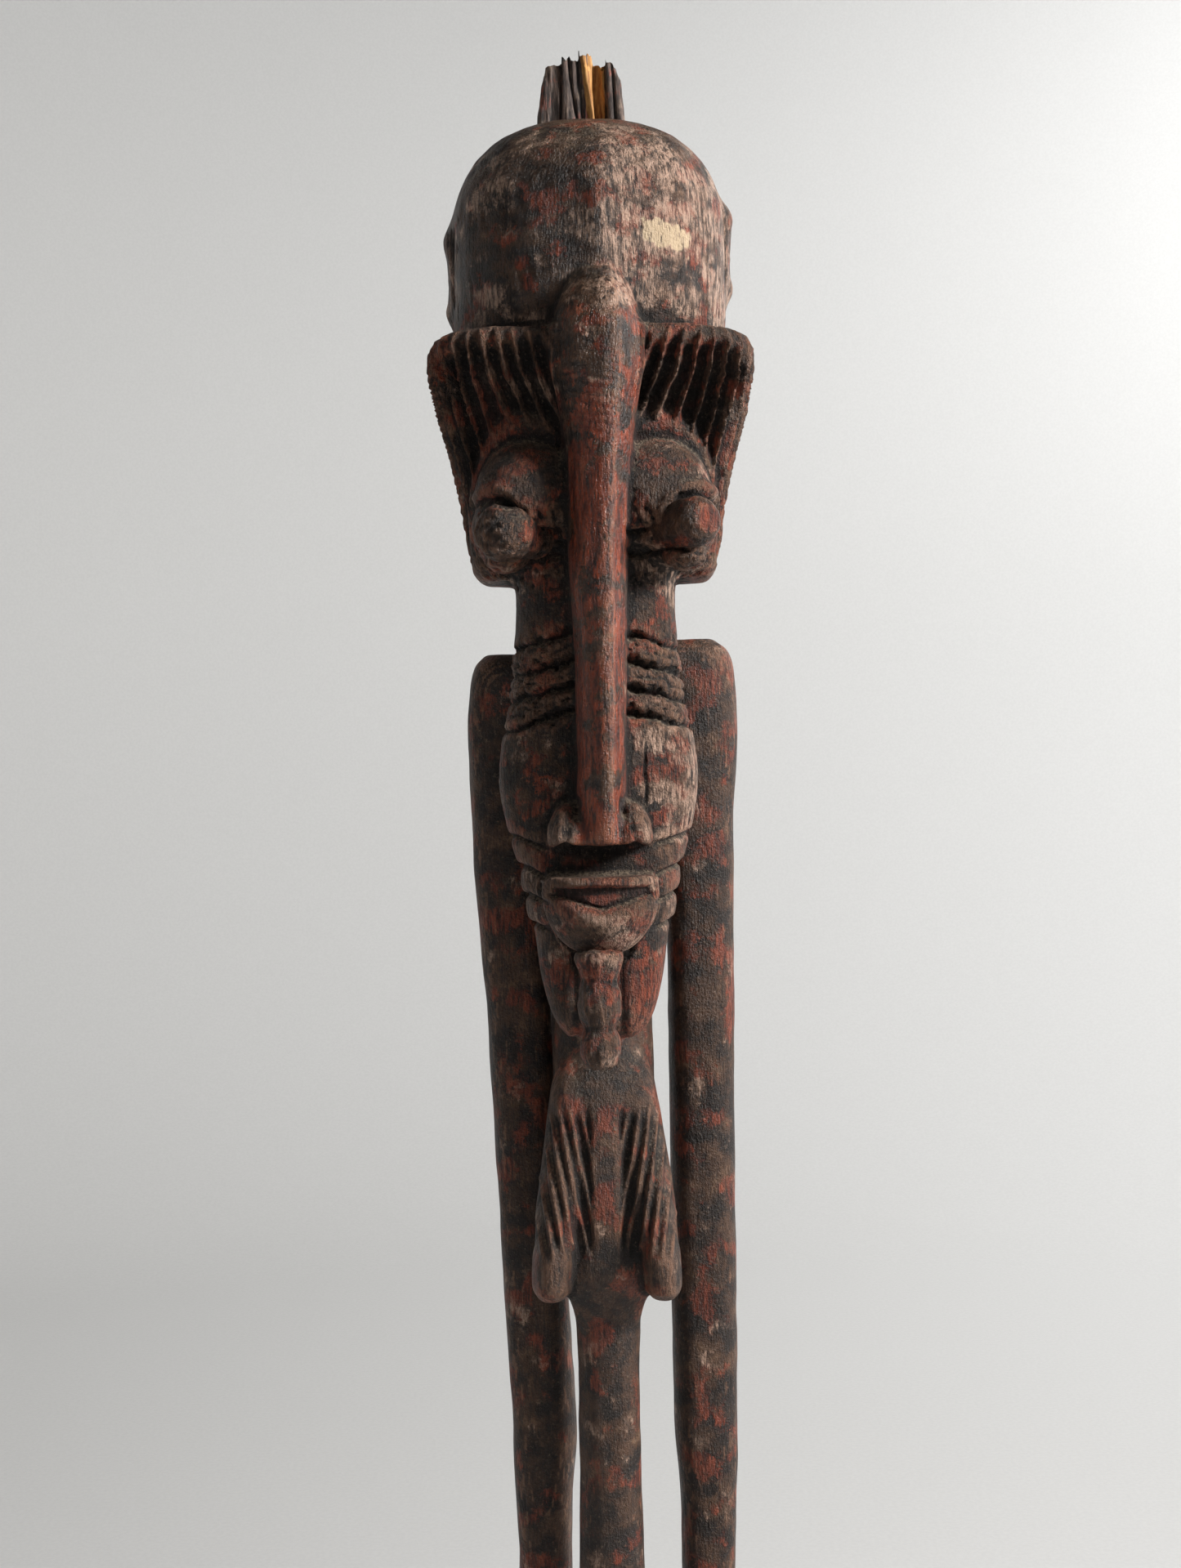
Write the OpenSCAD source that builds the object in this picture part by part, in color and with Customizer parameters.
// Tall carved ancestor figure: head, body and arms are separate carvings, pegged together and
// doweled to a plinth. Millimetres, +Z up, front towards -Y. The origin is the centre of the
// plinth's underside. Left and right are the figure's own, so its right side is at -X.

/* [Plinth] */
// Width of the plinth
base_w = 150; // [120:1:190]
// Depth of the plinth
base_d = 150; // [120:1:190]
// Height of the plinth
base_h = 34; // [28:1:45]
// Bevel on the plinth's corners and top edge
base_bevel = 7; // [3:1:10]

/* [Body] */
// Height from the plinth to the crotch
leg_h = 228; // [190:1:280]
// Distance between the centres of the two feet
stance = 36; // [30:1:44]
// Width of one leg at the thigh
thigh_w = 20; // [16:1:22]
// Length of a foot
foot_len = 52; // [42:1:64]
// Height of the pelvis above the crotch
pelvis_h = 50; // [40:1:60]
// Width of the hips
hip_w = 42; // [38:1:46]
// Height of the belly
belly_h = 80; // [64:1:98]
// Height of the plain column between belly and breasts
column_h = 96; // [78:1:116]
// Thickness of the column
column_w = 20; // [16:1:24]
// Height of the breasts
breast_h = 62; // [50:1:76]
// Width across both breasts
breast_w = 46; // [38:1:50]
// Height of the chest between breasts and shoulders
chest_h = 110; // [90:1:132]
// Width of the chest
chest_w = 33; // [28:1:38]
// Height of the shoulder yoke, up to the top of the neck
yoke_h = 40; // [36:1:48]
// Width of the body between the two flat seats for the arms
yoke_w = 39; // [36:0.1:47]

/* [Arms] */
// Width of an arm
arm_w = 22; // [18:0.1:27]
// Depth of an arm, front to back
arm_d = 24; // [20:1:28]
// Width of a forearm
forearm_w = 18; // [14:1:20]
// Length of the upper arm, from shoulder top to elbow
upper_arm_h = 268; // [230:1:300]
// How much lower the right shoulder sits than the left
right_shoulder_drop = 4; // [0:1:12]
// Distance of the right elbow from the centre line
right_elbow_x = 23; // [22:1:32]
// Distance of the left elbow from the centre line
left_elbow_x = 31; // [22:1:36]
// Thickness of a hand
hand_t = 9; // [7:1:11]

/* [Head] */
// How far the jaw hangs below the top of the neck
head_drop = 128; // [110:1:140]
// Height of the jaw below the chin
jaw_h = 29; // [24:1:34]
// Height from the chin to the base of the nose
mouth_h = 31; // [26:1:37]
// Height of the smooth cheeks
cheek_h = 35; // [29:1:42]
// Height of the band of folds above the cheeks
fold_h = 24; // [20:1:29]
// Height of the plain temples above the folds
temple_h = 24; // [20:1:29]
// Height of the ridged crest that frames the face
crest_h = 71; // [60:1:85]
// Height of the dome above the ridged crest
dome_h = 74; // [64:1:88]
// Width of the jaw and mouth
jaw_w = 44; // [38:1:50]
// Width across the cheeks
cheek_w = 60; // [50:1:66]
// Width across the temples
temple_w = 50; // [46:1:56]
// Width across the top of the ridged crest
crest_w = 101; // [90:1:112]
// Width of the dome
dome_w = 88; // [78:0.1:106]
// Depth of the dome, front to back
dome_d = 90; // [80:1:100]
// Width of the long nose
nose_w = 17; // [13:1:20]
// Width across the nostrils
nostril_w = 30; // [26:1:34]
// How far the nose stands in front of the centre of the dome
nose_reach = 58; // [56:1:64]
// Thickness of the face below the neck
face_t = 38; // [32:1:40]

/* [Pegs] */
// Radius of an eye peg
eye_r = 8.2; // [6.5:0.02:9.9]
// Length of an eye peg that shows
eye_len = 19; // [15:1:24]
// Length of an eye peg inside its socket
eye_hold = 12; // [8:1:14]
// Distance of an eye peg's root from the centre line
eye_root_x = 22; // [19:1:24]
// Angle at which an eye peg points outwards
eye_splay = 38; // [28:1:42]
// Radius of the beard peg
beard_r = 6.6; // [5.2:0.1:8]
// Length of the beard peg below the chin
beard_len = 35; // [28:1:42]
// Length of the beard peg inside its socket
beard_hold = 10; // [7:1:12]
// Radius of the beard peg inside its socket
beard_hold_r = 4; // [3:0.5:5]
// Width of the broken crest stump
stump_w = 28; // [22:1:34]
// Depth of the broken crest stump, front to back
stump_d = 21; // [16:1:25]
// Height of the stump's tallest splinter above the crown
stump_h = 24; // [20:1:32]
// Length of the stump inside the crown
stump_hold = 18; // [14:1:24]
// Radius of the neck dowel
neck_peg_r = 6; // [4:0.5:8]
// Length of the neck dowel
neck_peg_len = 50; // [40:1:60]
// Radius of a shoulder peg
arm_peg_r = 4; // [3:0.5:5]
// Length of a shoulder peg
arm_peg_len = 26; // [20:1:30]
// Radius of a foot dowel
foot_peg_r = 3; // [2:0.5:4]
// Length of a foot dowel
foot_peg_len = 38; // [30:1:44]
// Gap round a peg in its hole
peg_gap = 0.1; // [0.05:0.05:0.3]

/* [Hidden] */

$fn = 64;
cut = 200; // larger than anything that a cutting block has to reach across

// Heights, each stacked on the one below
crotch_z = base_h + leg_h;
waist_z = crotch_z + pelvis_h;
column_z = waist_z + belly_h;
breast_z = column_z + column_h;
chest_z = breast_z + breast_h;
yoke_z = chest_z + chest_h;
neck_z = yoke_z + yoke_h;
jaw_z = neck_z - head_drop;
chin_z = jaw_z + jaw_h;
nose_z = chin_z + mouth_h;
cheek_z = nose_z + cheek_h;
fold_z = cheek_z + fold_h;
crest_z = fold_z + temple_h;
dome_z = crest_z + crest_h;
crown_z = dome_z + dome_h;

// Depths: y of the planes that pieces share
face_y = -(nose_reach - 14); // face, just behind the nose
neck_y = 12; // centre of the neck and its dowel
arm_y = 18; // centre of both arms
column_y = -7; // centre of the column
dome_y = 1; // centre of the dome
beard_y = face_y - 6.5;
jaw_y = beard_y + beard_r + 0.5; // front of the jaw, just behind the beard
eye_z = crest_z + 11;
shoulder_z = neck_z - 3;
arm_peg_z = neck_z - neck_peg_len / 2 - arm_peg_r - 3; // just below the neck dowel
foot_y = -12;
foot_h = 14;

// One term of a superellipse, whose corners get squarer as q grows
function bow(v, q) = sign(v) * pow(abs(v), 2 / q);

// A closed ring of n points. Section s is [height, centre x, half width, front y, back y]
function ring(s, q, n) = [for (i = [0 : n - 1]) let (a = 360 * i / n)
    [s[1] + s[2] * bow(cos(a), q), (s[3] + s[4]) / 2 + (s[4] - s[3]) / 2 * bow(sin(a), q), s[0]]];

// Sections in rising order, mirrored to the right side where side is -1
function sided(sections, side) = [for (s = sections) [s[0], side * s[1], s[2], s[3], s[4]]];

// A solid through a list of sections, in rising order
module loft(sections, q = 2.4, n = 32) {
    last = len(sections) - 1;
    points = [for (s = sections) each ring(s, q, n)];
    walls = [for (k = [0 : last - 1], i = [0 : n - 1])
        let (a = k * n + i, b = k * n + (i + 1) % n) each [[a, a + n, b + n], [a, b + n, b]]];
    floor_face = [for (i = [0 : n - 1]) i];
    roof_face = [for (i = [n - 1 : -1 : 0]) last * n + i];
    polyhedron(points, concat(walls, [floor_face, roof_face]));
}

// Carries a peg or its socket to its place. An eye peg lies along Z, its root at the origin
module at_eye(side)
    translate([side * eye_root_x, face_y + 2, eye_z])
        rotate([0, 0, side * eye_splay]) rotate([90, 0, 0]) children();

module at_shoulder(side)
    translate([side * (yoke_w / 2 - arm_peg_len / 2), arm_y, arm_peg_z - drop(side)])
        rotate([0, side * 90, 0]) children();

module at_foot(side)
    translate([side * stance / 2, 0, base_h]) children();

function drop(side) = side < 0 ? right_shoulder_drop : 0;
function elbow_x(side) = side < 0 ? right_elbow_x : left_elbow_x;

// The long head from the jaw to the crown, without nose, crest and ears
module skull() {
    loft([
        [jaw_z, 0, 7, jaw_y + 5, face_y + 15],
        [jaw_z + 6, 0, 13, jaw_y + 2, face_y + 20],
        [jaw_z + 17, 0, 18, jaw_y, face_y + 26],
        [chin_z, 0, 20, jaw_y, face_y + 30],
        [chin_z + 14, 0, jaw_w / 2, face_y - 3, face_y + 33],
        [nose_z, 0, jaw_w / 2 + 4, face_y - 3, face_y + 35],
        [nose_z + 18, 0, cheek_w / 2, face_y - 3, face_y + 37],
        [cheek_z, 0, cheek_w / 2 - 2, face_y - 1, face_y + face_t],
        [fold_z, 0, temple_w / 2 + 1, face_y + 1, face_y + face_t],
        [neck_z - 1, 0, temple_w / 2, face_y + 2, face_y + face_t]
    ]);
    loft([
        [neck_z - 1.01, 0, temple_w / 2, face_y + 2, face_y + face_t],
        [crest_z, 0, temple_w / 2 + 3, face_y + 3, neck_y + 17],
        [crest_z + 20, 0, dome_w / 2 - 7, face_y + 3, dome_y + dome_d / 2 - 12],
        [crest_z + 45, 0, dome_w / 2 - 2, face_y + 2, dome_y + dome_d / 2 - 4],
        [dome_z, 0, dome_w / 2, dome_y - dome_d / 2, dome_y + dome_d / 2],
        [crown_z - 36, 0, dome_w / 2, dome_y - dome_d / 2 + 2, dome_y + dome_d / 2],
        [crown_z - 22, 0, dome_w / 2 - 3.5, dome_y - dome_d / 2 + 6, dome_y + dome_d / 2 - 4],
        [crown_z - 12, 0, dome_w / 2 - 10, dome_y - dome_d / 2 + 14, dome_y + dome_d / 2 - 11],
        [crown_z - 4, 0, dome_w / 2 - 20, dome_y - dome_d / 2 + 26, dome_y + dome_d / 2 - 23],
        [crown_z, 0, 6, dome_y - 6, dome_y + 6]
    ]);
}

// The neck behind the face, from its flat seat on the body up into the dome
module nape()
    loft([
        [neck_z, 0, 15, neck_y - 14, neck_y + 14],
        [neck_z + 16, 0, 17, neck_y - 14, neck_y + 16],
        [crest_z + 22, 0, 22, neck_y - 14, neck_y + 22]
    ]);

// The ridged crest: a thick collar that frames the face and spreads towards its top
module ridged_crest()
    loft([
        [crest_z - 2, 0, crest_w / 2 - 17, face_y + 12, 2],
        [crest_z + 4, 0, crest_w / 2 - 12, face_y + 9, 6],
        [crest_z + 28, 0, crest_w / 2 - 6, face_y + 6, 8],
        [dome_z - 16, 0, crest_w / 2, face_y - 1, 4],
        [dome_z - 6, 0, crest_w / 2 - 1, face_y - 4, 0],
        [dome_z, 0, crest_w / 2 - 8, face_y - 2, -6]
    ], 3);

// The nose runs from the brow to the mouth and flares at the nostrils
module nose()
    loft([
        [nose_z, 0, nostril_w / 2, -nose_reach + 1, face_y + 6],
        [nose_z + 9, 0, nostril_w / 2 - 2, -nose_reach, face_y + 6],
        [nose_z + 17, 0, nose_w / 2, -nose_reach, face_y + 6],
        [crest_z + 20, 0, nose_w / 2, -nose_reach + 1, face_y + 6],
        [dome_z - 26, 0, nose_w / 2 + 3, -nose_reach + 1, face_y + 6],
        [dome_z - 8, 0, nose_w / 2 + 5, -nose_reach, face_y + 6],
        [dome_z + 8, 0, nose_w / 2 + 3, -nose_reach + 4, face_y + 10],
        [dome_z + 16, 0, nose_w / 2, -nose_reach + 10, face_y + 10]
    ], 3, 24);

// The full lower lip that closes the mouth
module lip()
    loft([
        [chin_z, 0, 10, face_y - 12, face_y + 10],
        [chin_z + 6, 0, 15, face_y - 13, face_y + 10],
        [chin_z + 14, 0, 18, face_y - 13, face_y + 10],
        [chin_z + 22, 0, 18.5, face_y - 11, face_y + 10]
    ], 2.6, 24);

module ear(side)
    translate([side * (dome_w / 2 - 4), dome_y + 2, dome_z + 27])
        scale([0.5, 0.8, 1.1]) sphere(r = 13, $fn = 24);

// Bores: sockets for pegs, cut after everything else is joined
module head_sockets() {
    translate([-stump_w / 2 - peg_gap, -stump_d / 2 - peg_gap, crown_z - stump_hold])
        cube([stump_w + 2 * peg_gap, stump_d + 2 * peg_gap, stump_hold + 1]);
    translate([0, neck_y, neck_z - 1])
        cylinder(r = neck_peg_r + peg_gap, h = neck_peg_len / 2 + 2);
    translate([0, beard_y, chin_z - 1])
        cylinder(r = beard_hold_r + peg_gap, h = beard_hold + 1);
    for (side = [-1, 1]) at_eye(side)
        translate([0, 0, -eye_hold]) cylinder(r = eye_r + peg_gap, h = eye_hold + 14);
}

module head() {
    color("#54372c") difference() {
        union() {
            skull();
            nape();
            ridged_crest();
            nose();
            lip();
            ear(-1);
            ear(1);
        }
        head_sockets();
    }
}

// The stump of a crest that broke off: splintered staves on one rectangular tenon
module crest_stump() {
    staves = [[0, 0.62, 0.2], [0.2, 0.8, 0.2], [0.4, 1, 0.14], [0.68, 0.72, 0.16], [0.84, 0.5, 0.16]];
    color("#7a5a3c") {
        translate([-stump_w / 2, -stump_d / 2, crown_z - stump_hold])
            cube([stump_w, stump_d, stump_hold + stump_h * 0.3]);
        for (s = staves)
            translate([-stump_w / 2 + s[0] * stump_w, -stump_d / 2, crown_z])
                cube([s[2] * stump_w, stump_d, stump_h * s[1]]);
    }
}

// A stepped peg with a domed boss on its end, like a stubby telescope
module eye_peg(side)
    color("#5b4036") at_eye(side) {
        translate([0, 0, -eye_hold + peg_gap]) cylinder(r = eye_r, h = eye_hold + eye_len * 0.75);
        translate([0, 0, eye_len * 0.75]) cylinder(r1 = eye_r, r2 = eye_r * 0.72, h = eye_len * 0.12);
        translate([0, 0, eye_len * 0.87]) cylinder(r = eye_r * 0.6, h = eye_len * 0.13);
    }

// A beard of three beads, in one with the thinner peg that holds it
module beard_peg() {
    bead_h = beard_len / 3;
    color("#5b4036") translate([0, beard_y, chin_z - peg_gap]) rotate_extrude()
        polygon(concat(
            [[0, beard_hold], [0, -beard_len]],
            [for (k = [3 : -1 : 1]) each [
                [beard_r * (k == 3 ? 0.62 : 0.86), -bead_h * k],
                [beard_r, -bead_h * (k - 0.35)],
                [beard_r, -bead_h * (k - 0.65)]]],
            [[beard_r, 0], [beard_hold_r, 0], [beard_hold_r, beard_hold]]
        ));
}

module leg(side)
    loft(sided([
        [base_h + foot_h - 4, stance / 2, 7.5, -6, 10],
        [base_h + foot_h + 12, stance / 2, 7, -5, 9],
        [base_h + leg_h * 0.27, stance / 2 - 1, thigh_w / 2 - 2, -6, 12],
        [base_h + leg_h * 0.42, stance / 2 - 2, thigh_w / 2 - 1, -10, 10],
        [base_h + leg_h * 0.55, stance / 2 - 2.5, thigh_w / 2 - 1, -18, 3],
        [base_h + leg_h * 0.7, stance / 2 - 3, thigh_w / 2 - 0.5, -14, 8],
        [crotch_z - 32, stance / 2 - 5, thigh_w / 2, -12, 12],
        [crotch_z + 8, hip_w / 2 - thigh_w / 2 - 0.5, thigh_w / 2, -9, 18]
    ], side), 2.4, 24);

module foot(side)
    loft(sided([
        [base_h, stance / 2, 10.5, foot_y - foot_len / 2, foot_y + foot_len / 2],
        [base_h + 7, stance / 2, 10, foot_y - foot_len / 2 + 1, foot_y + foot_len / 2],
        [base_h + foot_h, stance / 2, 8, foot_y - foot_len / 2 + 16, foot_y + foot_len / 2 - 1]
    ], side), 3.6, 24);

// The trunk from the crotch to the top of the neck
module trunk()
    loft([
        [crotch_z - 4, 0, hip_w / 2 - 8, -5, 16],
        [crotch_z + 2, 0, hip_w / 2 - 3, -9, 21],
        [crotch_z + 14, 0, hip_w / 2, -12, 24],
        [crotch_z + pelvis_h * 0.7, 0, hip_w / 2 - 2, -15, 21],
        [waist_z + 10, 0, column_w / 2 + 7, -20, 14],
        [waist_z + belly_h * 0.5, 0, column_w / 2 + 6, -25, 9],
        [column_z - 12, 0, column_w / 2 + 3, -20, 5],
        [column_z, 0, column_w / 2, column_y - column_w / 2, column_y + column_w / 2],
        [breast_z - 8, 0, column_w / 2, column_y - column_w / 2, column_y + column_w / 2],
        [breast_z + 4, 0, column_w / 2 + 4, column_y - 13, column_y + 14],
        [breast_z + 24, 0, column_w / 2 + 5, column_y - 12, column_y + 22],
        [chest_z, 0, chest_w / 2, -18, 24],
        [chest_z + chest_h * 0.4, 0, chest_w / 2, -11, 27],
        [yoke_z - 24, 0, chest_w / 2 + 1, -6, 29],
        [yoke_z - 6, 0, yoke_w / 2 + 3, -4, 30],
        [neck_z - 18, 0, yoke_w / 2 + 2, -3, 29],
        [neck_z - 8, 0, 17, neck_y - 14, neck_y + 15],
        [neck_z, 0, 15, neck_y - 14, neck_y + 14]
    ]);

module breast(side)
    loft(sided([
        [breast_z + 3, breast_w / 2 - 5.5, 4, -27, -9],
        [breast_z + 6, breast_w / 2 - 6, 6, -31, -5],
        [breast_z + 16, breast_w / 2 - 6.5, 6.5, -32, -3],
        [breast_z + 32, breast_w / 2 - 8.5, 7.5, -28, -2],
        [breast_z + 50, breast_w / 2 - 12, 8, -23, -2],
        [chest_z + 6, breast_w / 2 - 15, 6, -17, -2]
    ], side), 2.4, 24);

// Flat seats for the arms, and bores for the neck dowel, shoulder pegs and foot dowels
module body_sockets() {
    for (side = [-1, 1]) {
        translate([side * (yoke_w / 2 + cut / 2), 0, neck_z]) cube(cut, center = true);
        at_shoulder(side)
            translate([0, 0, -arm_peg_len / 2 - 1]) cylinder(r = arm_peg_r + peg_gap, h = arm_peg_len * 2);
        at_foot(side)
            cylinder(r = foot_peg_r + peg_gap, h = foot_peg_len + 1, center = true);
    }
    translate([0, neck_y, neck_z - neck_peg_len / 2 - 1])
        cylinder(r = neck_peg_r + peg_gap, h = neck_peg_len);
}

module body() {
    color("#4f372d") difference() {
        union() {
            trunk();
            breast(-1);
            breast(1);
            leg(-1);
            leg(1);
            foot(-1);
            foot(1);
        }
        body_sockets();
    }
}

// An arm hangs straight from its flat seat on the yoke, and its hand lies beside the hip
module arm(side) {
    top = shoulder_z - drop(side);
    shoulder_x = yoke_w / 2 + arm_w / 2 + 1;
    elbow = top - upper_arm_h;
    wrist = crotch_z + 34;
    hand_x = hip_w / 2 + hand_t / 2 + 3;
    wrist_x = hand_x + 2;
    front = arm_y - arm_d / 2;
    back = arm_y + arm_d / 2;
    color("#4f372d") difference() {
        loft(sided([
            [crotch_z - 22, hand_x, hand_t / 2 - 1.5, arm_y - 10, arm_y + 3],
            [crotch_z - 16, hand_x, hand_t / 2, arm_y - 14, arm_y + 5],
            [crotch_z + 10, hand_x, hand_t / 2, arm_y - 15, arm_y + 7],
            [wrist, wrist_x, forearm_w / 2 - 2.5, arm_y - 9, arm_y + 7],
            [wrist + 34, wrist_x, forearm_w / 2 - 0.5, front + 2, back - 4],
            [elbow - 40, (2 * elbow_x(side) + wrist_x) / 3, forearm_w / 2, front + 2, back - 3],
            [elbow - 10, elbow_x(side), forearm_w / 2 + 0.5, front + 1, back - 1],
            [elbow + 18, elbow_x(side), arm_w / 2, front, back],
            [elbow + 110, (elbow_x(side) + 2 * shoulder_x) / 3, arm_w / 2, front, back],
            [top - 60, shoulder_x, arm_w / 2, front, back],
            [top - 22, shoulder_x, arm_w / 2 + 2, front - 1, back + 1],
            [top - 8, shoulder_x - 1, arm_w / 2 + 1, front + 1, back - 1],
            [top, shoulder_x - 3, arm_w / 2 - 5, front + 5, back - 5]
        ], side), 2.8, 24);
        translate([side * (yoke_w / 2 - cut / 2), 0, top - 60 + cut / 2]) cube(cut, center = true);
        at_shoulder(side)
            cylinder(r = arm_peg_r + peg_gap, h = arm_peg_len / 2 + 14);
    }
}

module neck_dowel()
    color("#a9835a") translate([0, neck_y, neck_z])
        cylinder(r = neck_peg_r, h = neck_peg_len, center = true);

module shoulder_peg(side)
    color("#a9835a") at_shoulder(side) cylinder(r = arm_peg_r, h = arm_peg_len);

module foot_dowel(side)
    color("#a9835a") at_foot(side) cylinder(r = foot_peg_r, h = foot_peg_len, center = true);

module plinth_outline(inset) {
    x = base_w / 2 - inset;
    y = base_d / 2 - inset;
    c = base_bevel;
    polygon([[-x + c, -y], [x - c, -y], [x, -y + c], [x, y - c], [x - c, y], [-x + c, y], [-x, y - c], [-x, -y + c]]);
}

module plinth()
    color("#3a2720") difference() {
        union() {
            linear_extrude(base_h - base_bevel / 2) plinth_outline(0);
            linear_extrude(base_h) plinth_outline(base_bevel / 2);
        }
        for (side = [-1, 1]) at_foot(side)
            cylinder(r = foot_peg_r + peg_gap, h = foot_peg_len + 1, center = true);
    }

head();
crest_stump();
eye_peg(-1);  // eye_peg_right
eye_peg(1);  // eye_peg_left
beard_peg();
body();
neck_dowel();
arm(-1);  // arm_right
arm(1);  // arm_left
shoulder_peg(-1);  // shoulder_peg_right
shoulder_peg(1);  // shoulder_peg_left
foot_dowel(-1);  // foot_dowel_right
foot_dowel(1);  // foot_dowel_left
plinth();
